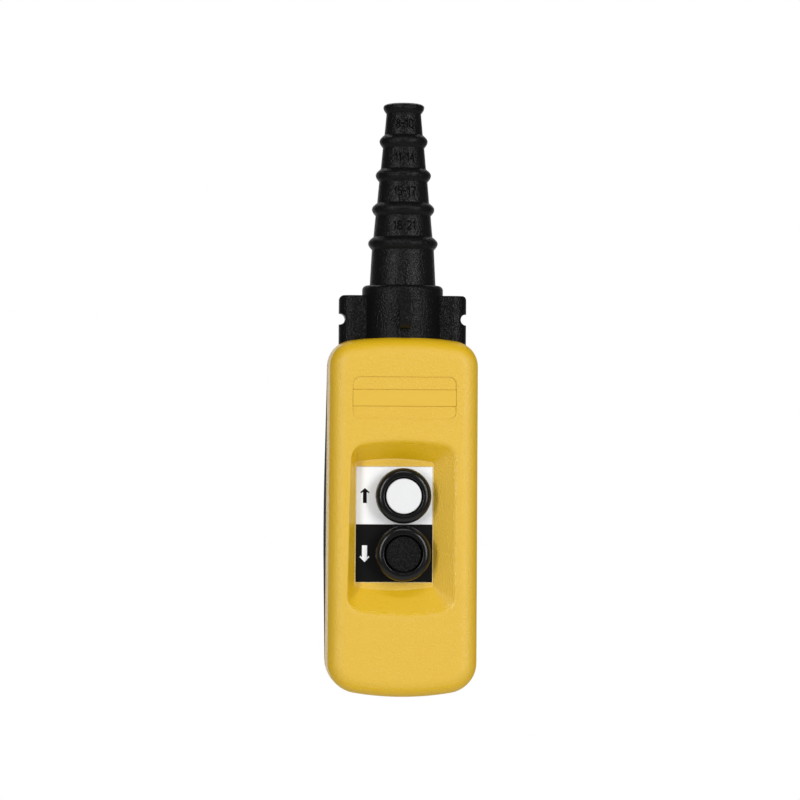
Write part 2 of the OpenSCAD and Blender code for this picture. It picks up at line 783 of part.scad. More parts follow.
module sleeve_collar() {
    bore_r = sleeve_root_r() + sleeve_gap;
    ear_top = collar_top - ear_drop;
    ear_half = ear_span / 2;
    flange_r = collar_r + collar_flange_out;
    shoulder_r = collar_r - collar_edge_r;
    shoulder_z = collar_top - collar_edge_r - collar_foot_z;
    core_w = 5;
    core_d = ear_t - 2 * wall;
    color("#1a1a1a") hung() difference() {
        union() {
            translate([0, 0, collar_foot_z]) rotate_extrude() polygon(concat(
                [[bore_r, 0], [flange_r, 0], [flange_r, collar_flange_t], [collar_r, collar_flange_t]],
                arc([shoulder_r, shoulder_z], collar_edge_r, 0, 90, 8),
                [[bore_r, collar_top - collar_foot_z]]
            ));
            difference() {
                intersection() {
                    translate([0, 0, collar_foot_z]) linear_extrude(ear_top - collar_foot_z)
                        rounded_bar(ear_span, ear_t, ear_round_r);
                    translate([0, ear_t, 0]) rotate([90, 0, 0]) linear_extrude(2 * ear_t) {
                        translate([-ear_half, 0]) square([ear_span, ear_top - ear_corner_r]);
                        translate([-ear_half + ear_corner_r, 0])
                            square([ear_span - 2 * ear_corner_r, ear_top]);
                        for (x = [-1, 1]) {
                            translate([x * (ear_half - ear_corner_r), ear_top - ear_corner_r])
                                circle(r = ear_corner_r);
                        }
                    }
                }
                translate([0, 0, collar_foot_z - past]) cylinder(r = bore_r + wall / 2, h = station_h);
            }
            for (turn = [0, 180]) {
                rotate([0, 0, turn]) translate([-lug_w / 2, 0, 0]) rotate([90, 0, 90]) mirror([1, 0, 0])
                    linear_extrude(lug_w) lug_profile();
            }
        }
        for (side = [-1, 1]) {
            translate([side * (ear_half - notch_in), 0, sling_z]) rotate([90, 0, 0])
                cylinder(d = notch_d, h = 2 * ear_t, center = true);
            translate([0, side * (collar_r + eye_out), sling_z]) rotate([0, 90, 0])
                cylinder(d = eye_d, h = 2 * lug_w, center = true);
            translate([side * (collar_r + wall + core_w / 2) - core_w / 2, -core_d / 2, collar_foot_z - past])
                cube([core_w, core_d, ear_top - wall - collar_foot_z + past]);
        }
    }
}

// Height of the middle of a rib, with the mouth's lip as rib 0
function rib_z(i) = station_h - lip_down - rib_pitch * i;
// Outer radius of a section at its top and at its foot
function section_top_r(i) = (section_od + section_step * i) / 2;
function section_foot_r(i) = section_top_r(i) + section_taper / 2;
// Bore diameter of a section
function sleeve_bore(i) = bore_d + bore_step * i;
// Outer radius of the sleeve's root in the collar
function sleeve_root_r() = section_foot_r(sections - 1);

// Outer radius of a rib's crest
function rib_r(i) = (lip_od + rib_step * i) / 2;
// Hollow flank of a rib above (way 1) or below (way -1) its crest, counted from the lowest point up
function rib_flank(i, root_r, way) =
    [for (k = [0 : rib_points])
        let (a = way > 0 ? 90 * k / rib_points : 90 - 90 * k / rib_points)
        [root_r + (rib_r(i) - root_r) * pow(cos(a), rib_sharpness), rib_z(i) + way * rib_h / 2 * sin(a)]];
// Rounded upper side of the mouth's lip
function lip_side() =
    [for (k = [0 : rib_points])
        let (a = 90 * k / rib_points)
        [mouth_d / 2 + (lip_od - mouth_d) / 2 * cos(a), station_h - lip_down * (1 - sin(a))]];

module cable_sleeve() {
    outside = [for (i = [sections - 1 : -1 : 0]) each concat(
        rib_flank(i, section_top_r(i), -1),
        without_first(i == 0 ? lip_side() : rib_flank(i, section_foot_r(i - 1), 1))
    )];
    inside = [for (i = [0 : sections - 1]) each [
        [sleeve_bore(i) / 2, i == 0 ? station_h : rib_z(i)],
        [sleeve_bore(i) / 2, i == sections - 1 ? sleeve_foot_z : rib_z(i + 1)]
    ]];
    color("#151515") hung() rotate_extrude() polygon(concat(
        [[sleeve_flange_d / 2, sleeve_foot_z], [sleeve_flange_d / 2, collar_foot_z]],
        [[sleeve_root_r(), collar_foot_z], [sleeve_root_r(), collar_top]],
        outside,
        inside
    ));
}

module cable_clamp_bar() {
    arch_top = clamp_arch_r + clamp_t;
    end_x = clamp_x + clamp_pillar_d / 2;
    color("#2b2b2b") hung() difference() {
        facing(clamp_z) translate([0, clamp_w / 2, 0]) rotate([90, 0, 0])
            linear_extrude(clamp_w) translate([0, -clamp_back]) difference() {
                union() {
                    translate([-end_x, 0]) square([2 * end_x, clamp_t]);
                    intersection() {
                        circle(r = arch_top);
                        translate([-arch_top, 0]) square([2 * arch_top, arch_top]);
                    }
                }
                circle(r = clamp_arch_r);
            }
        at_clamp_screws() translate([0, 0, -clamp_back - past])
            cylinder(d = clamp_screw_d + 2 * screw_gap, h = clamp_t + 2 * past);
    }
}

module cable_clamp_screws() {
    color("silver") hung() at_clamp_screws() translate([0, 0, clamp_t - clamp_back])
        mirror([0, 0, 1]) pan_screw(clamp_screw_d - 2 * seat_gap, clamp_screw_l, clamp_head_d, small_head_t);
}

// Legend plate with the hole for its button
module legend_plate(z) {
    difference() {
        translate([-panel_left - legend_w / 2, -legend_top_h, z - legend_h / 2 + seat_gap])
            cube([legend_w, legend_t, legend_h - 2 * seat_gap]);
        facing(z) cylinder(d = shank_d + 2 * plate_gap, h = face_h);
    }
}

module up_legend_plate() {
    color("white") hung() legend_plate(up_z);
}

module down_legend_plate() {
    color("#101010") hung() legend_plate(down_z);
}

// Ring that screws onto the barrel's head: full round flank, index notch at its left side
module bezel(z) {
    outer_r = bezel_od / 2;
    crest_r = crest_d / 2;
    opening_r = opening_d / 2;
    shoulder_r = outer_r - crest_r;
    base_h = legend_top_h + 2 * seat_gap;
    thread_r = head_d / 2 + seat_gap;
    foot_bevel = 0.4;
    notch_w = 1.8;
    notch_turn = 188;
    facing(z) difference() {
        rotate_extrude() polygon(concat(
            [[thread_r, base_h], [outer_r - foot_bevel, base_h], [outer_r, base_h + foot_bevel]],
            arc([crest_r, crest_h - shoulder_r], shoulder_r, 0, 90, 10),
            arc([opening_r + opening_edge_r, crest_h - opening_edge_r], opening_edge_r, 90, 180, 4),
            [[opening_r, lip_base_h], [thread_r, lip_base_h]]
        ));
        rotate([0, 0, notch_turn]) translate([outer_r - foot_bevel, -notch_w / 2, base_h - past])
            cube([past, notch_w, crest_h - base_h - shoulder_r + past]);
    }
}

module up_bezel() {
    color("#141414") hung() bezel(up_z);
}

module down_bezel() {
    color("#141414") hung() bezel(down_z);
}

// Button cap with a rounded edge and a socket for the stem's nose
module cap(z) {
    r = cap_d / 2;
    nose_r = nose_d / 2 + seat_gap;
    socket_h = cap_base_h + nose_h + seat_gap;
    facing(z) rotate_extrude() polygon(concat(
        [[nose_r, cap_base_h], [r, cap_base_h]],
        arc([r - cap_edge_r, cap_top_h - cap_edge_r], cap_edge_r, 0, 90, 6),
        [[0, cap_top_h], [0, socket_h], [nose_r, socket_h]]
    ));
}

module up_cap() {
    color("whitesmoke") hung() cap(up_z);
}

module down_cap() {
    color("#161616") hung() cap(down_z);
}

// Rolling seal: its rim is clamped on the barrel's head and its middle between cap and stem
module boot(z) {
    rim_r = head_d / 2 - plate_gap;
    bore_r = barrel_bore_d / 2 - slide_gap;
    hold_r = flange_d / 2;
    inner_r = nose_d / 2 + seat_gap;
    low_h = head_top_h + seat_gap;
    high_h = flange_top_h + seat_gap;
    middle_r = (bore_r + hold_r) / 2;
    roll_r = (bore_r - hold_r) / 2;
    outer_roll = [for (k = [0 : 10])
        let (a = 180 * k / 10, t = k / 10)
        [middle_r + roll_r * cos(a), low_h + (high_h - low_h) * t - boot_roll * sin(a)]];
    inner_roll = [for (i = [10 : -1 : 0]) outer_roll[i] + [0, boot_t]];
    facing(z) rotate_extrude() polygon(concat(
        [[rim_r, low_h + boot_t], [rim_r, low_h]],
        outer_roll,
        [[inner_r, high_h], [inner_r, high_h + boot_t]],
        inner_roll
    ));
}

module up_boot() {
    color("#222222") hung() boot(up_z);
}

module down_boot() {
    color("#222222") hung() boot(down_z);
}

// Flat ring between the barrel's head and the legend plate
module panel_seal(z) {
    facing(z) translate([0, 0, legend_top_h]) difference() {
        cylinder(d = head_d - 2 * plate_gap, h = seal_t);
        translate([0, 0, -past]) cylinder(d = shank_d + 2 * seat_gap, h = seal_t + 2 * past);
    }
}

module up_panel_seal() {
    color("#262626") hung() panel_seal(up_z);
}

module down_panel_seal() {
    color("#262626") hung() panel_seal(down_z);
}

// Barrel through the panel: head, shank, bore and the shelf that guides the push rod
module barrel(z) {
    bore_r = barrel_bore_d / 2;
    guide_r = rod_d / 2 + slide_gap;
    facing(z) rotate_extrude() polygon([
        [shank_d / 2, block_face_h], [shank_d / 2, head_base_h], [head_d / 2, head_base_h],
        [head_d / 2, head_top_h], [bore_r, head_top_h], [bore_r, shelf_h],
        [guide_r, shelf_h], [guide_r, shelf_h - shelf_t], [bore_r, shelf_h - shelf_t], [bore_r, block_face_h]
    ]);
}

module up_barrel() {
    color("#333333") hung() barrel(up_z);
}

module down_barrel() {
    color("#333333") hung() barrel(down_z);
}

// Ring nut with spanner notches, drawn up against the back of the panel
module locknut(z) {
    notch_w = 4;
    notch_deep = 1;
    facing(z) translate([0, 0, floor_back_h - nut_t]) difference() {
        cylinder(d = nut_d, h = nut_t);
        translate([0, 0, -past]) cylinder(d = shank_d + 2 * seat_gap, h = nut_t + 2 * past);
        for (i = [0 : nut_notches - 1]) {
            rotate([0, 0, 360 / nut_notches * (i + 0.5)])
                translate([nut_d / 2 - notch_deep, -notch_w / 2, -past])
                    cube([notch_deep + past, notch_w, nut_t + 2 * past]);
        }
    }
}

module up_locknut() {
    color("#3a3a3a") hung() locknut(up_z);
}

module down_locknut() {
    color("#3a3a3a") hung() locknut(down_z);
}

// Push rod with the flange under the cap and the groove for its clip
module stem(z) {
    r = rod_d / 2;
    groove_r = r - clip_groove;
    groove_foot_h = clip_h - clip_t - seat_gap;
    groove_top_h = clip_h + seat_gap;
    tip_bevel = 0.5;
    facing(z) rotate_extrude() polygon([
        [0, rod_end_h], [r - tip_bevel, rod_end_h], [r, rod_end_h + tip_bevel],
        [r, groove_foot_h], [groove_r, groove_foot_h], [groove_r, groove_top_h], [r, groove_top_h],
        [r, flange_base_h], [flange_d / 2, flange_base_h], [flange_d / 2, flange_top_h],
        [nose_d / 2, flange_top_h], [nose_d / 2, cap_base_h + nose_h], [0, cap_base_h + nose_h]
    ]);
}

module up_stem() {
    color("#dddddd") hung() stem(up_z);
}

module down_stem() {
    color("#dddddd") hung() stem(down_z);
}

// Open clip in the push rod's groove, which stops the stem at the shelf
module stem_ring(z) {
    facing(z) translate([0, 0, clip_h - clip_t]) difference() {
        cylinder(d = clip_d, h = clip_t);
        translate([0, 0, -past]) cylinder(r = rod_d / 2 - clip_groove + seat_gap, h = clip_t + 2 * past);
        translate([-rod_d / 4, 0, -past]) cube([rod_d / 2, clip_d, clip_t + 2 * past]);
    }
}

module up_stem_ring() {
    color("lightgray") hung() stem_ring(up_z);
}

module down_stem_ring() {
    color("lightgray") hung() stem_ring(down_z);
}

// Coil of round wire along +Z from the origin, with its wire inside the given length
module coil(middle_d, wire_d, length, turns) {
    sides = 6;
    per_turn = 14;
    rings = floor(turns * per_turn);
    r = wire_d / 2;
    points = [for (i = [0 : rings]) for (k = [0 : sides - 1])
        let (
            a = 360 * turns * i / rings,
            b = 360 * k / sides,
            across = middle_d / 2 + r * cos(b)
        )
        [across * cos(a), across * sin(a), r + (length - wire_d) * i / rings + r * sin(b)]];
    skin = [for (i = [0 : rings - 1]) for (k = [0 : sides - 1])
        let (a = i * sides + k, b = i * sides + (k + 1) % sides)
        each [[a, b, b + sides], [a, b + sides, a + sides]]];
    ends = [
        [for (k = [sides - 1 : -1 : 0]) k],
        [for (k = [0 : sides - 1]) rings * sides + k]
    ];
    polyhedron(points, concat(skin, ends));
}

// Return spring between the shelf and the stem's flange
module return_spring(z) {
    facing(z) translate([0, 0, shelf_h])
        coil(return_d, return_wire, flange_base_h - shelf_h, return_turns);
}

module up_return_spring() {
    color("silver") hung() return_spring(up_z);
}

module down_return_spring() {
    color("silver") hung() return_spring(down_z);
}

// Body of a contact block: spigot, plunger channel, contact chamber and screw wells
module contact_housing(z) {
    head_hole_r = rod_d / 2 + head_gap;
    spigot_r = barrel_bore_d / 2 - slide_gap;
    spigot_wall = 2.2;
    well_r = terminal_head_d / 2 + head_gap;
    fixing_well_r = fixing_head_d / 2 + head_gap;
    wire_w = 5;
    difference() {
        union() {
            facing(z) translate([-block_w / 2, -block_h / 2, block_back_h])
                cube([block_w, block_h, block_d]);
            facing(z) translate([0, 0, block_face_h - seat_gap])
                cylinder(r = spigot_r, h = spigot_l + seat_gap);
        }
        facing(z) {
            translate([0, 0, block_face_h]) cylinder(r = spigot_r - spigot_wall, h = spigot_l + past);
            translate([0, 0, block_back_h]) cylinder(r = head_hole_r, h = block_d + past);
            translate([-channel_w / 2, -channel_w / 2, block_back_h - past])
                cube([channel_w, channel_w, block_d - block_wall + past]);
            translate([-chamber_half, -channel_w / 2, block_back_h - past])
                cube([2 * chamber_half, channel_w, bridge_h + 2 * slide_gap - block_back_h + past]);
            cover_seat_cut();
            for (side = [-1, 1]) {
                translate([side * terminal_x, 0, block_back_h - past])
                    cylinder(r = well_r, h = screw_seat_h - block_back_h + past);
                translate([side * terminal_x, 0, screw_seat_h - past])
                    cylinder(d = terminal_screw_d, h = terminal_screw_l + tip_room + past);
                translate([side * (terminal_x + rivet_x) / 2, 0, screw_seat_h + strip_t / 2])
                    cube([for (size = [strip_l, strip_w, strip_t]) size + 2 * seat_gap], center = true);
                translate([side * terminal_x - wire_w / 2, -block_h / 2 - past, screw_seat_h - small_head_t])
                    cube([wire_w, block_h / 2 + past, small_head_t + seat_gap]);
            }
        }
        at_fixings(z) {
            translate([0, 0, block_back_h - past])
                cylinder(d = fixing_d + 2 * screw_gap, h = block_d + 2 * past);
            translate([0, 0, block_back_h - past])
                cylinder(r = fixing_well_r, h = fixing_seat_h - block_back_h + past);
        }
    }
}

// Step in the block's back that takes the cover
module cover_seat_cut() {
    translate([-chamber_half, -block_cover_h / 2, block_back_h - past])
        cube([2 * chamber_half, block_cover_h, block_wall + past]);
}

module up_contact_housing() {
    color("#4a4a4a") hung() contact_housing(up_z);
}

module down_contact_housing() {
    color("#4a4a4a") hung() contact_housing(down_z);
}

// Cover that closes the chamber from behind and guides the plunger's tail
module block_cover(z) {
    facing(z) difference() {
        translate([-chamber_half + seat_gap, -block_cover_h / 2 + seat_gap, block_back_h])
            cube([2 * (chamber_half - seat_gap), block_cover_h - 2 * seat_gap, block_wall - seat_gap]);
        translate([0, 0, block_back_h - past])
            cylinder(d = tail_d + 2 * slide_gap, h = block_wall + 2 * past);
    }
}

module up_block_cover() {
    color("#6a6a6a") hung() block_cover(up_z);
}

module down_block_cover() {
    color("#6a6a6a") hung() block_cover(down_z);
}

// Plunger: round head, square body with the bridge's window through it, and a round tail
module plunger(z) {
    window_w = bridge_w + 2 * head_gap;
    body_foot_h = body_top_h - plunger_l;
    tail_end_h = block_back_h + block_wall / 2;
    facing(z) {
        difference() {
            translate([-plunger_w / 2, -plunger_w / 2, body_foot_h]) cube([plunger_w, plunger_w, plunger_l]);
            translate([-plunger_w, -window_w / 2, window_foot_h])
                cube([2 * plunger_w, window_w, window_top_h - window_foot_h]);
        }
        translate([0, 0, body_top_h])
            cylinder(d = rod_d - 2 * slide_gap, h = rod_end_h - seat_gap - body_top_h);
        translate([0, 0, tail_end_h]) cylinder(d = tail_d, h = body_foot_h - tail_end_h);
    }
}

module up_plunger() {
    color("ivory") hung() plunger(up_z);
}

module down_plunger() {
    color("ivory") hung() plunger(down_z);
}

// Moving contact bridge with two rivets on its back
module bridge(z) {
    facing(z) {
        translate([-bridge_l / 2, -bridge_w / 2, bridge_h - bridge_t]) cube([bridge_l, bridge_w, bridge_t]);
        for (side = [-1, 1]) {
            translate([side * rivet_x, 0, bridge_h - bridge_t - rivet_h]) cylinder(d = rivet_d, h = rivet_h);
        }
    }
}

module up_bridge() {
    color("goldenrod") hung() bridge(up_z);
}

module down_bridge() {
    color("goldenrod") hung() bridge(down_z);
}

// Contact spring between the bridge and the front end of the plunger's window
module bridge_spring(z) {
    facing(z) translate([0, 0, bridge_h])
        coil(contact_spring_d, contact_wire, window_top_h - bridge_h, contact_turns);
}

module up_bridge_spring() {
    color("silver") hung() bridge_spring(up_z);
}

module down_bridge_spring() {
    color("silver") hung() bridge_spring(down_z);
}

// Two terminal strips with a pad under each rivet of the bridge and a hole for the clamp screw
module fixed_contacts(z) {
    facing(z) for (side = [-1, 1]) {
        difference() {
            translate([side * (terminal_x + rivet_x) / 2, 0, screw_seat_h + strip_t / 2])
                cube([strip_l, strip_w, strip_t], center = true);
            translate([side * terminal_x, 0, screw_seat_h - past])
                cylinder(d = terminal_screw_d + 2 * seat_gap, h = strip_t + 2 * past);
        }
        translate([side * rivet_x, 0, strip_h]) cylinder(d = rivet_d, h = rivet_h);
    }
}

module up_fixed_contacts() {
    color("goldenrod") hung() fixed_contacts(up_z);
}

module down_fixed_contacts() {
    color("goldenrod") hung() fixed_contacts(down_z);
}

// Clamp screws of the two terminals
module terminal_screws(z) {
    for (side = [-1, 1]) {
        facing(z, side * terminal_x) translate([0, 0, screw_seat_h - seat_gap])
            pan_screw(terminal_screw_d - 2 * seat_gap, terminal_screw_l, terminal_head_d, small_head_t);
    }
}

module up_terminal_screws() {
    color("silver") hung() terminal_screws(up_z);
}

module down_terminal_screws() {
    color("silver") hung() terminal_screws(down_z);
}

// Two screws that hold a contact block to the pillars of the front shell
module block_screws(z) {
    at_fixings(z) translate([0, 0, fixing_seat_h])
        pan_screw(fixing_d - 2 * seat_gap, fixing_l, fixing_head_d, small_head_t);
}

module up_block_screws() {
    color("silver") hung() block_screws(up_z);
}

module down_block_screws() {
    color("silver") hung() block_screws(down_z);
}

front_shell();
rear_shell();
shell_gasket();
cover_screws();
name_insert();
sleeve_collar();
cable_sleeve();
cable_clamp_bar();
cable_clamp_screws();
up_legend_plate();
down_legend_plate();
up_bezel();
down_bezel();
up_cap();
down_cap();
up_boot();
down_boot();
up_panel_seal();
down_panel_seal();
up_barrel();
down_barrel();
up_locknut();
down_locknut();
up_stem();
down_stem();
up_stem_ring();
down_stem_ring();
up_return_spring();
down_return_spring();
up_contact_housing();
down_contact_housing();
up_block_cover();
down_block_cover();
up_plunger();
down_plunger();
up_bridge();
down_bridge();
up_bridge_spring();
down_bridge_spring();
up_fixed_contacts();
down_fixed_contacts();
up_terminal_screws();
down_terminal_screws();
up_block_screws();
down_block_screws();
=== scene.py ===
import math

import bmesh
import bpy
from mathutils import Matrix, Vector


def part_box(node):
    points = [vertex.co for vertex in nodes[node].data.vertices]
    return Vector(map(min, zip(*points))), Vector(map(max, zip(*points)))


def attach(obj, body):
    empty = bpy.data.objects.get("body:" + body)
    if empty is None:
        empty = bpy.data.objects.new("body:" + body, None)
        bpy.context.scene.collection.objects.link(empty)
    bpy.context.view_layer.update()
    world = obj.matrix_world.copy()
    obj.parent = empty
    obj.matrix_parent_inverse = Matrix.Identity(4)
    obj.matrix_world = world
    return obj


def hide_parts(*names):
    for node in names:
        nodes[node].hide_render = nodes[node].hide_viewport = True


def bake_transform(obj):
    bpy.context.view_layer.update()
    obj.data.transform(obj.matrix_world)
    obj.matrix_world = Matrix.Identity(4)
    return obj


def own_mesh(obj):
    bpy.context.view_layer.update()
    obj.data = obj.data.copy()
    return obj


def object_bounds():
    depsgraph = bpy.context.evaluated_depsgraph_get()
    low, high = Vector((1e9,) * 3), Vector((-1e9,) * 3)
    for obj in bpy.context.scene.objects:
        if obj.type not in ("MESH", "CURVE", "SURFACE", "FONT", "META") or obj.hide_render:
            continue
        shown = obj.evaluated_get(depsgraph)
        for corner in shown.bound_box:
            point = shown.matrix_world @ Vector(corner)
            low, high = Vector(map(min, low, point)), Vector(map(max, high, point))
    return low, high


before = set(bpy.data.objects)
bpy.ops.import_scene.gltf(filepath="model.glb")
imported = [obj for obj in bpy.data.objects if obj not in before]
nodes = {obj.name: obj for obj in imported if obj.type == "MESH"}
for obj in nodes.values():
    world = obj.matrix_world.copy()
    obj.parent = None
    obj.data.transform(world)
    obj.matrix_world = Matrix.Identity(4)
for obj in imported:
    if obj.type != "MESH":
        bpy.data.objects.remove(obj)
cad_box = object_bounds()
mm = 0.001


# Camera: a metre and a half in front of the buttons and a little to their left, level with the middle
# of the station. The station hangs a little out of plumb in the picture, so the camera rolls.
station_low, station_high = cad_box
camera_height = station_low.z + 156 * mm
camera_distance = 1.5
camera_azimuth = math.radians(-3)
camera_roll = math.radians(0.4)
aim_side = -0.95 * mm

camera = bpy.data.objects.new("camera", bpy.data.cameras.new("camera"))
camera.data.lens = 127.5
camera.data.sensor_width = 36
camera.data.clip_start = 0.05
camera.location = (
    camera_distance * math.sin(camera_azimuth),
    -camera_distance * math.cos(camera_azimuth),
    camera_height,
)
facing = (Vector((aim_side, 0, camera_height)) - camera.location).to_track_quat("-Z", "Y")
camera.rotation_euler = (facing.to_matrix() @ Matrix.Rotation(camera_roll, 3, "Z")).to_euler()
bpy.context.collection.objects.link(camera)
bpy.context.scene.camera = camera
bpy.context.scene.view_settings.view_transform = "Standard"


# Studio: two tall soft boxes at the left and the right of the camera, a narrow one overhead, one high
# behind, a white surround, and a pale floor below the hanging station that takes its shadow.
lamp_distance = 1.5
surround_light = 0.26
surround_gloss = 0.1
floor_white = (0.94, 0.94, 0.94, 1)
floor_drop = 0.25
floor_radius = 0.9
fade_start = 0.35 * floor_radius
fade_end = 0.98 * floor_radius


def soft_box(name, azimuth, elevation, size, watts):
    """Rectangular lamp that faces the station's middle, at angles in degrees from the front."""
    lamp = bpy.data.lights.new(name, "AREA")
    lamp.shape = "RECTANGLE"
    lamp.size, lamp.size_y = size
    lamp.energy = watts
    box = bpy.data.objects.new(name, lamp)
    a, e = math.radians(azimuth), math.radians(elevation)
    back = Vector((math.sin(a) * math.cos(e), -math.cos(a) * math.cos(e), math.sin(e)))
    box.location = Vector((0, 0, camera_height)) + back * lamp_distance
    box.rotation_euler = (-back).to_track_quat("-Z", "Y").to_euler()
    bpy.context.collection.objects.link(box)


soft_box("left_soft_box", azimuth=-38, elevation=10, size=(0.3, 1.1), watts=9.8)
soft_box("right_soft_box", azimuth=38, elevation=10, size=(0.3, 1.1), watts=11.7)
soft_box("top_soft_box", azimuth=0, elevation=58, size=(0.9, 0.15), watts=2.9)
soft_box("back_soft_box", azimuth=180, elevation=48, size=(1.2, 0.4), watts=4.0)


def add(tree, kind, *inputs, **values):
    """New node. Its inputs come in their order or by name, each as a value or as the output that feeds
    it, and the node's own settings come by name.
    """
    node = tree.nodes.new(kind)
    sockets = list(enumerate(inputs))
    for name, value in values.items():
        if hasattr(node, name):
            setattr(node, name, value)
        else:
            sockets.append((name.replace("_", " "), value))
    for key, value in sockets:
        if isinstance(value, bpy.types.NodeSocket):
            tree.links.new(value, node.inputs[key])
        else:
            node.inputs[key].default_value = value
    return node


def maths(tree, operation, *inputs):
    """Result of a maths node."""
    return add(tree, "ShaderNodeMath", *inputs, operation=operation).outputs[0]


def ramp(tree, value, start, end, shape="SMOOTHSTEP"):
    """Mask that goes from 0 to 1 as a value goes from start to end."""
    return add(tree, "ShaderNodeMapRange", value, start, end, interpolation_type=shape).outputs[0]


world = bpy.data.worlds.new("white_surround")
world.use_nodes = True
bpy.context.scene.world = world
tree = world.node_tree
tree.nodes.clear()
ray = add(tree, "ShaderNodeLightPath")
way = add(tree, "ShaderNodeTexCoord")
split = add(tree, "ShaderNodeSeparateXYZ", way.outputs["Generated"])
glossy = ray.outputs["Is Glossy Ray"]
behind = maths(tree, "MULTIPLY", glossy, ramp(tree, split.outputs["Y"], 0.8, 1.0))
seen = maths(tree, "MAXIMUM", ray.outputs["Is Camera Ray"], behind)
clear = maths(tree, "MAXIMUM", seen, ray.outputs["Is Transmission Ray"])
level = add(tree, "ShaderNodeMapRange", glossy, To_Min=surround_light, To_Max=surround_gloss)
plain = add(tree, "ShaderNodeBackground", Color=(1, 1, 1, 1), Strength=level.outputs[0])
white = add(tree, "ShaderNodeBackground", Color=(1, 1, 1, 1), Strength=1.0)
mix = add(tree, "ShaderNodeMixShader", clear, plain.outputs[0], white.outputs[0])
add(tree, "ShaderNodeOutputWorld", Surface=mix.outputs[0])

bm = bmesh.new()
bmesh.ops.create_circle(bm, cap_ends=True, radius=floor_radius, segments=96)
floor = bpy.data.objects.new("floor", bpy.data.meshes.new("floor"))
bm.to_mesh(floor.data)
bm.free()
floor.location = (0, 0, station_low.z - floor_drop)
bpy.context.collection.objects.link(floor)

paint = bpy.data.materials.new("pale_floor")
paint.use_nodes = True
tree = paint.node_tree
tree.nodes.clear()
place = add(tree, "ShaderNodeTexCoord")
reach = add(tree, "ShaderNodeVectorMath", place.outputs["Object"], operation="LENGTH")
fade = ramp(tree, reach.outputs["Value"], fade_start, fade_end, "SMOOTHERSTEP")
matt = add(tree, "ShaderNodeBsdfDiffuse", Color=floor_white)
gone = add(tree, "ShaderNodeBsdfTransparent")
mix = add(tree, "ShaderNodeMixShader", fade, matt.outputs[0], gone.outputs[0])
add(tree, "ShaderNodeOutputMaterial", Surface=mix.outputs[0])
floor.data.materials.append(paint)


# Front shell: the yellow half of the enclosure, moulded in one piece with the sunken panel, the
# name frame and a fine spark-eroded grain all over. Screws from the back draw it onto the rear shell.
yellow = (0.77, 0.493, 0.056)
yellow_deep = (0.745, 0.47, 0.036)
# Painted shade: a deeper, more saturated yellow for surfaces turned away from the front, in the panel and
# round the sides
yellow_painted_shade = (0.75, 0.458, 0.002)
# Painted highlight: the pale tone laid in thin lines along the panel's rim
yellow_painted_highlight = (0.93, 0.76, 0.4)
wall_rough = 0.26


def grain_group():
    """Moulded grain: a fine pebbled height, and a slow variation of tone and gloss. Sizes in mm."""
    group = bpy.data.node_groups.new("moulded_grain", "ShaderNodeTree")
    for name in ("Detail", "Grain", "Mottle"):
        group.interface.new_socket(name, in_out="INPUT", socket_type="NodeSocketFloat")
    for name in ("Height", "Tone"):
        group.interface.new_socket(name, in_out="OUTPUT", socket_type="NodeSocketFloat")
    source = add(group, "NodeGroupInput")
    result = add(group, "NodeGroupOutput")
    where = add(group, "ShaderNodeTexCoord")
    for size, output in (("Grain", "Height"), ("Mottle", "Tone")):
        noise = add(
            group,
            "ShaderNodeTexNoise",
            Vector=where.outputs["Object"],
            Scale=maths(group, "DIVIDE", 1 / mm, source.outputs[size]),
            Detail=source.outputs["Detail"],
            Roughness=0.6,
        )
        group.links.new(noise.outputs["Fac"], result.inputs[output])
    return group


grain = grain_group()


def turned_group():
    """How a surface is turned: Wall goes to 1 as it turns away from the front, sooner up or down than to
    a side, Steep is 1 on walls square to the front, and Back is 1 where it looks to the back.
    """
    side_weight = 0.82
    group = bpy.data.node_groups.new("turned_face", "ShaderNodeTree")
    result = add(group, "NodeGroupOutput")
    normal = add(group, "ShaderNodeTexCoord").outputs["Normal"]
    split = add(group, "ShaderNodeSeparateXYZ", normal)
    flat = add(group, "ShaderNodeVectorMath", normal, (side_weight, 1, 0), operation="MULTIPLY")
    upright = add(group, "ShaderNodeVectorMath", flat.outputs[0], operation="LENGTH")
    for name, source, start, end in (
        ("Wall", upright.outputs["Value"], 0.98, 0.8),
        ("Steep", split.outputs["Y"], -0.2, -0.05),
        ("Back", split.outputs["Y"], 0.1, 0.5),
    ):
        group.interface.new_socket(name, in_out="OUTPUT", socket_type="NodeSocketFloat")
        group.links.new(ramp(group, source, start, end), result.inputs[name])
    return group


turned = turned_group()


def grained(name, colour, deep, rough, wear, grain_mm, depth_mm, mottle_mm, detail, strength):
    """Material of two close tones that vary slowly, with a grain of a size and depth. Its roughness goes
    through a range as the slow variation goes through the range of wear.
    """
    material = bpy.data.materials.new(name)
    material.use_nodes = True
    tree = material.node_tree
    shader = tree.nodes["Principled BSDF"]
    sizes = {"Grain": grain_mm, "Mottle": mottle_mm}
    effect = add(tree, "ShaderNodeGroup", node_tree=grain, Detail=detail, **sizes)
    spread = effect.outputs["Tone"]
    tone = add(tree, "ShaderNodeMix", data_type="RGBA", Factor=spread, A=(*colour, 1), B=(*deep, 1))
    worn = add(tree, "ShaderNodeMapRange", spread, *wear, *rough)
    height = effect.outputs["Height"]
    bump = add(tree, "ShaderNodeBump", Strength=strength, Distance=depth_mm * mm, Height=height)
    tree.links.new(tone.outputs["Result"], shader.inputs["Base Color"])
    tree.links.new(worn.outputs[0], shader.inputs["Roughness"])
    tree.links.new(bump.outputs[0], shader.inputs["Normal"])
    return material


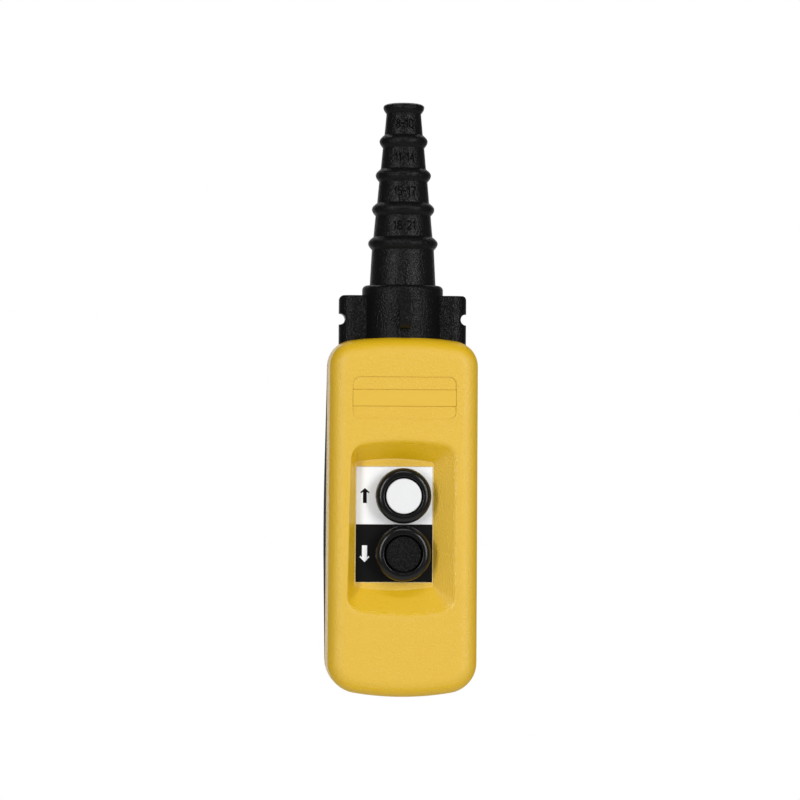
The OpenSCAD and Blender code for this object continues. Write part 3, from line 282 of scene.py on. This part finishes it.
def moulded(name, colour, deep, rough, grain_mm, depth_mm, detail=2.5, sharp=0.5):
    """Moulded plastic or rubber; sharp is how strongly its surface reflects."""
    material = grained(
        name,
        colour,
        deep,
        rough,
        wear=(0.3, 0.7),
        grain_mm=grain_mm,
        depth_mm=depth_mm,
        mottle_mm=14,
        detail=detail,
        strength=1.0,
    )
    material.node_tree.nodes["Principled BSDF"].inputs["Specular IOR Level"].default_value = sharp
    return material


def layer(material, socket, value, mask):
    """Lays a colour or a roughness over what feeds the shader of a material, by a mask."""
    tree = material.node_tree
    target = tree.nodes["Principled BSDF"].inputs[socket]
    kind = "RGBA" if socket == "Base Color" else "FLOAT"
    below = target.links[0].from_socket
    over = add(tree, "ShaderNodeMix", data_type=kind, Factor=mask, A=below, B=value)
    tree.links.new(over.outputs["Result"], target)


def paint_wall_shade(material, colour, rough):
    """Paints shade on a material's walls as a deeper colour, and gives those square to the front a
    roughness.
    """
    turn = add(material.node_tree, "ShaderNodeGroup", node_tree=turned)
    layer(material, "Base Color", (*colour, 1), turn.outputs["Wall"])
    layer(material, "Roughness", rough, turn.outputs["Steep"])


def round_edges(material, radius):
    """Shades a material's edges as rounded, to a radius or to the output that gives it."""
    tree = material.node_tree
    bevel = add(tree, "ShaderNodeBevel", radius, samples=8)
    tree.links.new(bevel.outputs[0], tree.nodes["Bump"].inputs["Normal"])


def dress(material, *names):
    """Gives CAD nodes their material."""
    for name in names:
        nodes[name].data.materials.clear()
        nodes[name].data.materials.append(material)


def smoothing_group(split_angle, weld):
    """Joins a faceted solid's faces where their corners lie within a distance, and smooths its shading
    across edges flatter than an angle.
    """
    group = bpy.data.node_groups.new("smooth_faces", "GeometryNodeTree")
    group.interface.new_socket("Solid", in_out="INPUT", socket_type="NodeSocketGeometry")
    group.interface.new_socket("Smooth", in_out="OUTPUT", socket_type="NodeSocketGeometry")
    solid = add(group, "NodeGroupInput")
    bare = add(group, "GeometryNodeRemoveAttribute", solid.outputs[0], Name="custom_normal")
    joined = add(group, "GeometryNodeMergeByDistance", bare.outputs[0], Distance=weld)
    faces = add(group, "GeometryNodeSetShadeSmooth", joined.outputs[0], domain="FACE")
    angle = add(group, "GeometryNodeInputMeshEdgeAngle").outputs["Unsigned Angle"]
    steep = add(group, "FunctionNodeCompare", operation="GREATER_THAN", A=angle, B=split_angle)
    edges = add(
        group,
        "GeometryNodeSetShadeSmooth",
        faces.outputs[0],
        domain="EDGE",
        Selection=steep.outputs[0],
        Shade_Smooth=False,
    )
    add(group, "NodeGroupOutput", edges.outputs[0])
    return group


smooth_faces = smoothing_group(split_angle=math.radians(28), weld=0.001 * mm)


def smooth(solid):
    """Shades a faceted solid as the rounded form that it stands for."""
    join = solid.modifiers.new("join_faces", "NODES")
    join.node_group = smooth_faces
    flat = solid.modifiers.new("merge_flat_faces", "DECIMATE")
    flat.decimate_type = "DISSOLVE"
    flat.angle_limit = math.radians(0.3)
    weigh = solid.modifiers.new("weigh_normals", "WEIGHTED_NORMAL")
    weigh.mode = "FACE_AREA"
    weigh.weight = 50
    weigh.keep_sharp = True


yellow_plastic = moulded(
    "yellow_plastic", yellow, yellow_deep, rough=(0.36, 0.46), grain_mm=0.9, depth_mm=0.34
)
# Painted shade: the walls that turn away from the front take the deeper yellow
paint_wall_shade(yellow_plastic, yellow_painted_shade, wall_rough)

# The sunken panel lies below the name frame, and its rim starts at the shell's front
rim_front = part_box("front_shell")[0].y
panel_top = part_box("name_insert")[0].z - 14 * mm
tree = yellow_plastic.node_tree
spot = add(tree, "ShaderNodeTexCoord").outputs["Object"]
across, depth, height = add(tree, "ShaderNodeSeparateXYZ", spot).outputs
on_panel = maths(tree, "LESS_THAN", height, panel_top)

# Painted highlight: a pale line along the rim's edges, where the normal turns away within a narrow radius
line_radius = 0.7 * mm
line_reach = 12 * mm
narrow = add(tree, "ShaderNodeBevel", line_radius, samples=8).outputs[0]
face = add(tree, "ShaderNodeNewGeometry").outputs["Normal"]
along = add(tree, "ShaderNodeVectorMath", narrow, face, operation="DOT_PRODUCT").outputs["Value"]
line = ramp(tree, along, 0.985, 0.92, "LINEAR")
near = maths(tree, "LESS_THAN", depth, rim_front + line_reach)
painted_highlight_mask = maths(tree, "MULTIPLY", line, maths(tree, "MULTIPLY", near, on_panel))
layer(yellow_plastic, "Base Color", (*yellow_painted_highlight, 1), painted_highlight_mask)

# The rim's lip is polished from just behind its front, between the rounded sides of the shell
lip_start = 0.1 * mm
lip_full = 0.5 * mm
lip_end = 1.6 * mm
lip_half_width = 28.8 * mm
lip_rough = 0.2
past_front = ramp(tree, depth, rim_front + lip_start, rim_front + lip_full)
on_lip = maths(tree, "MULTIPLY", past_front, maths(tree, "LESS_THAN", depth, rim_front + lip_end))
inside = maths(tree, "LESS_THAN", maths(tree, "ABSOLUTE", across), lip_half_width)
lip_mask = maths(tree, "MULTIPLY", on_lip, maths(tree, "MULTIPLY", inside, on_panel))
layer(yellow_plastic, "Roughness", lip_rough, lip_mask)

# Edges are a little rounded, and the rim is rounded more towards its front
edge_radius = 0.3 * mm
rim_radius = 2.4 * mm
rim_back = rim_front + 7 * mm
rim_full = rim_back - 3 * mm
growth = add(tree, "ShaderNodeMapRange", depth, rim_back, rim_full, edge_radius, rim_radius)
rim = maths(tree, "MULTIPLY", growth.outputs[0], on_panel)
round_edges(yellow_plastic, maths(tree, "MAXIMUM", rim, edge_radius))

dress(yellow_plastic, "front_shell")
smooth(nodes["front_shell"])


# Rear shell: the black half, moulded in the same plastic and bowed to fill the palm, where handling
# polishes it, with its rubber gasket in the joint and four plated screws at the bottom of their wells.
black = (0.0045, 0.0045, 0.0047)
black_deep = (0.0036, 0.0036, 0.0038)
palm_rough = 0.36
black_plastic = moulded(
    "black_plastic",
    black,
    black_deep,
    rough=(0.55, 0.65),
    grain_mm=0.9,
    depth_mm=0.2,
    detail=1.0,
    sharp=0.08,
)
turn = add(black_plastic.node_tree, "ShaderNodeGroup", node_tree=turned)
layer(black_plastic, "Roughness", palm_rough, turn.outputs["Back"])
dress(black_plastic, "rear_shell")
smooth(nodes["rear_shell"])

seal_black = (0.0075, 0.0075, 0.0075)
seal_deep = (0.006, 0.006, 0.006)
seal_rubber = moulded(
    "seal_rubber", seal_black, seal_deep, rough=(0.55, 0.65), grain_mm=0.4, depth_mm=0.008, sharp=0.3
)
dress(seal_rubber, "shell_gasket")


def metal(name, colour, deep, rough, grain_mm, depth_mm):
    """Bare or plated metal, finely uneven and mottled in tone and gloss."""
    material = grained(
        name,
        colour,
        deep,
        rough,
        wear=(0, 1),
        grain_mm=grain_mm,
        depth_mm=depth_mm,
        mottle_mm=3,
        detail=2.5,
        strength=0.6,
    )
    material.node_tree.nodes["Principled BSDF"].inputs["Metallic"].default_value = 1
    return material


zinc_bright = (0.66, 0.66, 0.63)
zinc_dull = (0.56, 0.55, 0.51)
zinc = metal("zinc_plate", zinc_bright, zinc_dull, rough=(0.25, 0.45), grain_mm=0.2, depth_mm=0.004)
dress(zinc, "cover_screws")


# Name insert: a bar of the shell's own plastic clipped into the frame above the buttons, smoother
# than the shell round it and left bare.
insert_plastic = moulded(
    "insert_plastic", yellow, yellow_deep, rough=(0.44, 0.5), grain_mm=0.6, depth_mm=0.02
)
# Painted shade: the insert's walls that turn away from the front take the deeper yellow
paint_wall_shade(insert_plastic, yellow_painted_shade, wall_rough)
dress(insert_plastic, "name_insert")


# Sleeve collar: the black block at the top of the enclosure, moulded in the rear shell's plastic with
# a deeper grain, with two ears, two sling lugs and a flange trapped between the shells.
collar_plastic = moulded(
    "collar_plastic",
    black,
    black_deep,
    rough=(0.3, 0.36),
    grain_mm=0.85,
    depth_mm=0.42,
    detail=0.7,
    sharp=0.15,
)
dress(collar_plastic, "sleeve_collar")


# Cable sleeve: a stepped cone of black rubber, cut back to the section that suits the cable. Each
# section carries its range of cable diameters in raised figures, formed in the mould.
rubber = (0.0044, 0.0044, 0.0044)
rubber_deep = (0.0036, 0.0036, 0.0036)
sleeve_rubber = moulded(
    "sleeve_rubber",
    rubber,
    rubber_deep,
    rough=(0.3, 0.36),
    grain_mm=0.85,
    depth_mm=0.4,
    detail=0.7,
    sharp=0.19,
)
dress(sleeve_rubber, "cable_sleeve")

mark_black = (0.002, 0.002, 0.002)
mark_rubber = moulded(
    "mark_rubber", mark_black, mark_black, rough=(0.5, 0.6), grain_mm=0.4, depth_mm=0.004, sharp=0.03
)
first_rib_down = 1.9 * mm
rib_pitch = 18 * mm
section_radius = 9.15 * mm
section_growth = 1.825 * mm
section_taper = 1.0 * mm
section_length = 11.0 * mm
figure_height = 4.3 * mm
stroke_width = 0.75 * mm
stroke_slope = 0.12 * mm
stroke_rise = 0.22 * mm
stroke_sunk = 0.2 * mm
sharpest_turn = 0.5
longest_stretch = 0.12


def bow(centre, radii, start, end, steps=10):
    """Points on an ellipse's arc from one angle to another, in degrees."""
    turns = [math.radians(start + (end - start) * i / steps) for i in range(steps + 1)]
    return [(centre[0] + radii[0] * math.cos(t), centre[1] + radii[1] * math.sin(t)) for t in turns]


# Figures one unit high: the curved strokes, then each figure's width and strokes
zero = bow((0.25, 0.75), (0.25, 0.25), 0, 180) + bow((0.25, 0.25), (0.25, 0.25), 180, 360) + [(0.5, 0.75)]
two = bow((0.25, 0.75), (0.25, 0.25), 165, -35) + [(0, 0), (0.5, 0)]
five = [(0.46, 1), (0.08, 1), (0.05, 0.56)] + bow((0.23, 0.33), (0.27, 0.33), 120, -145)
eight_top = bow((0.25, 0.76), (0.21, 0.24), -90, 270, steps=16)
eight_foot = bow((0.25, 0.26), (0.25, 0.26), 90, 450, steps=16)
figures = {
    "0": (0.5, [zero]),
    "1": (0.3, [[(0.02, 0.78), (0.24, 1), (0.24, 0)]]),
    "2": (0.5, [two]),
    "4": (0.5, [[(0.37, 0), (0.37, 1), (0, 0.3), (0.5, 0.3)]]),
    "5": (0.5, [five]),
    "7": (0.5, [[(0, 1), (0.5, 1), (0.18, 0)]]),
    "8": (0.5, [eight_top, eight_foot]),
    "-": (0.34, [[(0, 0.5), (0.34, 0.5)]]),
}


def finer(line):
    """A line with its long stretches divided."""
    points = [line[0]]
    for a, b in zip(line, line[1:]):
        parts = max(1, math.ceil(math.dist(a, b) / longest_stretch))
        for i in range(1, parts + 1):
            points.append(tuple(a[k] + (b[k] - a[k]) * i / parts for k in (0, 1)))
    return points


def raised_stroke(bm, line, place):
    """Ridge with sloping sides along a line; place(u, v, lift) puts a flat point on the sleeve."""
    half, top = stroke_width / 2, stroke_width / 2 - stroke_slope
    profile = ((-half, -stroke_sunk), (-top, stroke_rise), (top, stroke_rise), (half, -stroke_sunk))
    rows = []
    for i, point in enumerate(line):
        before = Vector(line[max(i - 1, 0)])
        after = Vector(line[min(i + 1, len(line) - 1)])
        here = Vector(point)
        a, b = (here - before), (after - here)
        a, b = (a or b).normalized(), (b or a).normalized()
        way = (a + b).normalized() if (a + b).length > 1e-6 else a
        across = Vector((-way.y, way.x)) / max(sharpest_turn, way.dot(a))
        rows.append([bm.verts.new(place(*(here + across * s), lift)) for s, lift in profile])
    for a, b in zip(rows, rows[1:]):
        for k in range(3):
            bm.faces.new((a[k], b[k], b[k + 1], a[k + 1]))
        bm.faces.new((a[3], b[3], b[0], a[0]))
    bm.faces.new(rows[0])
    bm.faces.new(rows[-1][::-1])


def size_mark(section, text, span):
    """Raised figures on the front of a section, bent round its cone, spread over a span."""
    rib = station_high.z - first_rib_down - rib_pitch * section
    middle = rib - rib_pitch / 2
    radius = section_radius + section_growth * section
    top = middle + section_length / 2

    def place(u, v, lift):
        z = middle + v
        r = radius + section_taper * (top - z) / section_length + lift
        turn = u / (radius + section_taper / 2)
        return (r * math.sin(turn), -r * math.cos(turn), z)

    width = span / figure_height
    gap = (width - sum(figures[c][0] for c in text)) / (len(text) - 1)
    left = -width / 2
    bm = bmesh.new()
    for c in text:
        for line in figures[c][1]:
            flat = [((x + left) * figure_height, (y - 0.5) * figure_height) for x, y in finer(line)]
            raised_stroke(bm, flat, place)
        left += figures[c][0] + gap
    bmesh.ops.recalc_face_normals(bm, faces=bm.faces)
    mark = bpy.data.objects.new("size_mark_" + text.replace("-", "_"), bpy.data.meshes.new("size_mark"))
    bm.to_mesh(mark.data)
    bm.free()
    mark.data.materials.append(mark_rubber)
    bpy.context.collection.objects.link(mark)
    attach(mark, "station")


size_mark(0, "8-10", span=9.2 * mm)
size_mark(1, "11-14", span=10.3 * mm)
size_mark(2, "15-17", span=11.5 * mm)
size_mark(3, "18-21", span=11.6 * mm)


# Cable clamp: a moulded nylon bar with an arch over the cable, under the sleeve, held by two screws
# whose heads bear on its ends.
nylon = (0.012, 0.012, 0.0125)
nylon_deep = (0.009, 0.009, 0.0095)
black_nylon = moulded("black_nylon", nylon, nylon_deep, rough=(0.38, 0.5), grain_mm=0.35, depth_mm=0.008)
dress(black_nylon, "cable_clamp_bar")
dress(zinc, "cable_clamp_screws")


# Legend plates: a white and a black plate of smooth plastic side by side in the panel's pocket, each
# with a printed arrow to the left of its button.
plate_white = (0.945, 0.972, 1.0)
plate_white_deep = (0.935, 0.955, 0.98)
plate_black = (0.0036, 0.0036, 0.004)
plate_black_deep = (0.004, 0.004, 0.004)
print_white = (0.9, 0.92, 0.97)
print_white_deep = (0.88, 0.9, 0.95)
print_black = (0.004, 0.004, 0.004)
print_black_deep = (0.003, 0.003, 0.003)
white_plate = moulded(
    "white_plate", plate_white, plate_white_deep, rough=(0.3, 0.36), grain_mm=1.2, depth_mm=0.003
)
black_plate = moulded(
    "black_plate",
    plate_black,
    plate_black_deep,
    rough=(0.35, 0.42),
    grain_mm=1.2,
    depth_mm=0.004,
    sharp=0.2,
)
dress(white_plate, "up_legend_plate")
dress(black_plate, "down_legend_plate")

white_ink = moulded(
    "white_ink", print_white, print_white_deep, rough=(0.4, 0.5), grain_mm=0.2, depth_mm=0.002
)
black_ink = moulded(
    "black_ink",
    print_black,
    print_black_deep,
    rough=(0.4, 0.5),
    grain_mm=0.2,
    depth_mm=0.002,
    sharp=0.06,
)
ink_thickness = 0.03 * mm
arrow_x = -20.0 * mm
barb = 0.45 * mm
barb_rise = 1.3 * barb
barb_width = 0.8 * barb
barb_notch = 1.4 * barb


def printed_arrow(name, plate, ink, way, width, length, shaft, head, lift=0):
    """Arrow with swept barbs, printed on a plate at the height of its middle or off it by a lift. It
    points up with way 1 and down with way -1.
    """
    low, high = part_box(plate)
    half = [
        (0, length / 2),
        (width / 2, length / 2 - head + barb_rise),
        (width / 2 - barb_width, length / 2 - head),
        (shaft / 2, length / 2 - head + barb_notch),
        (shaft / 2, -length / 2),
    ]
    outline = half + [(-x, y) for x, y in reversed(half[1:])]
    middle = (low.z + high.z) / 2 + lift
    bm = bmesh.new()
    front = [bm.verts.new((arrow_x + x, low.y - ink_thickness, middle + way * y)) for x, y in outline]
    back = [bm.verts.new((arrow_x + x, low.y, middle + way * y)) for x, y in outline]
    bm.faces.new(front)
    bm.faces.new(back[::-1])
    for i in range(len(outline)):
        bm.faces.new((front[i - 1], back[i - 1], back[i], front[i]))
    bmesh.ops.recalc_face_normals(bm, faces=bm.faces)
    arrow = bpy.data.objects.new(name, bpy.data.meshes.new(name))
    bm.to_mesh(arrow.data)
    bm.free()
    arrow.data.materials.append(ink)
    bpy.context.collection.objects.link(arrow)
    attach(arrow, "station")


printed_arrow(
    "up_arrow",
    "up_legend_plate",
    black_ink,
    way=1,
    width=4.9 * mm,
    length=7.9 * mm,
    shaft=2.0 * mm,
    head=2.8 * mm,
)
printed_arrow(
    "down_arrow",
    "down_legend_plate",
    white_ink,
    way=-1,
    width=5.1 * mm,
    length=8.7 * mm,
    shaft=2.7 * mm,
    head=3.2 * mm,
    lift=-0.3 * mm,
)


# Button barrels: threaded nylon bodies through the panel, with a flat rubber seal under the head and
# a ring nut behind the panel.
dress(seal_rubber, "up_panel_seal", "down_panel_seal")
dress(black_nylon, "up_barrel", "down_barrel", "up_locknut", "down_locknut")


# Bezels: glossy black plastic rings with a round crest, very finely grained, screwed onto the heads
# of the barrels.
bezel_black = (0.006, 0.006, 0.006)
bezel_deep = (0.005, 0.005, 0.005)
bezel_radius = 0.5 * mm
bezel_plastic = moulded(
    "bezel_plastic", bezel_black, bezel_deep, rough=(0.2, 0.26), grain_mm=0.7, depth_mm=0.02, sharp=0.34
)
round_edges(bezel_plastic, bezel_radius)
dress(bezel_plastic, "up_bezel", "down_bezel")


# Boots: rolling rubber seals between cap and bezel. The rim is held under the bezel, and the neck is
# held between the cap and the stem and goes with them.
dress(seal_rubber, "up_boot", "down_boot")
neck_radius = 9.11 * mm


def boot(side):
    """Copies the boot in two pieces that meet round the cap, and hides the whole one."""
    name = side + "_boot"
    low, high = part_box(name)
    middle = (low.z + high.z) / 2
    for part in ("rim", "neck"):
        bm = bmesh.new()
        bm.from_mesh(nodes[name].data)
        reach = {f: math.dist((0, middle), f.calc_center_median().xz) for f in bm.faces}
        other = [f for f, radius in reach.items() if (radius > neck_radius) == (part == "neck")]
        bmesh.ops.delete(bm, geom=other, context="FACES")
        piece = bpy.data.objects.new(name + "_" + part, bpy.data.meshes.new(name + "_" + part))
        bm.to_mesh(piece.data)
        bm.free()
        piece.data.materials.append(seal_rubber)
        bpy.context.collection.objects.link(piece)
        if part == "neck":
            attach(piece, side + "_button")
        else:
            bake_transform(piece)
        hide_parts(name)


boot("up")
boot("down")


# Caps and stems: a grained cap on the nose of an acetal push rod, kept by a steel clip and lifted by
# a coil spring.
cap_white = (0.81, 0.815, 0.82)
cap_white_deep = (0.78, 0.785, 0.79)
cap_black = (0.004, 0.004, 0.004)
cap_black_deep = (0.0034, 0.0034, 0.0034)
acetal_white = (0.74, 0.72, 0.64)
acetal_deep = (0.70, 0.67, 0.58)
steel = (0.58, 0.58, 0.58)
steel_dull = (0.45, 0.44, 0.43)
white_cap = moulded(
    "white_cap", cap_white, cap_white_deep, rough=(0.38, 0.46), grain_mm=0.8, depth_mm=0.1
)
black_cap = moulded(
    "black_cap",
    cap_black,
    cap_black_deep,
    rough=(0.26, 0.32),
    grain_mm=0.85,
    depth_mm=0.7,
    detail=1.0,
    sharp=0.12,
)
acetal = moulded("acetal", acetal_white, acetal_deep, rough=(0.3, 0.4), grain_mm=0.3, depth_mm=0.004)
spring_wire = metal("spring_wire", steel, steel_dull, rough=(0.25, 0.4), grain_mm=0.1, depth_mm=0.003)
dress(white_cap, "up_cap")
dress(black_cap, "down_cap")
dress(acetal, "up_stem", "down_stem", "up_plunger", "down_plunger")
dress(spring_wire, "up_stem_ring", "down_stem_ring")


def spring(name, body):
    """Copies a coil spring as a piece of its own, shaded smooth and carried by a body, and hides the
    original.
    """
    dress(spring_wire, name)
    piece = bpy.data.objects.new(name + "_coil", nodes[name].data.copy())
    bpy.context.collection.objects.link(piece)
    smooth(piece)
    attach(piece, body)
    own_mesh(piece)
    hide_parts(name)


for side in ("up", "down"):
    spring(side + "_return_spring", "station")


# Contact blocks: grey moulded housings and covers screwed to the front shell, each with two brass
# strips and a brass bridge, which a spring presses onto them in the plunger's window.
block_grey = (0.16, 0.16, 0.17)
block_deep = (0.13, 0.13, 0.14)
brass_bright = (0.75, 0.56, 0.24)
brass_dull = (0.62, 0.43, 0.16)
block_plastic = moulded(
    "block_grey", block_grey, block_deep, rough=(0.42, 0.52), grain_mm=0.35, depth_mm=0.01
)
brass = metal("contact_brass", brass_bright, brass_dull, rough=(0.2, 0.4), grain_mm=0.2, depth_mm=0.003)
for side in ("up", "down"):
    spring(side + "_bridge_spring", side + "_slide")
    dress(block_plastic, side + "_contact_housing", side + "_block_cover")
    dress(brass, side + "_bridge", side + "_fixed_contacts")
    dress(zinc, side + "_terminal_screws", side + "_block_screws")
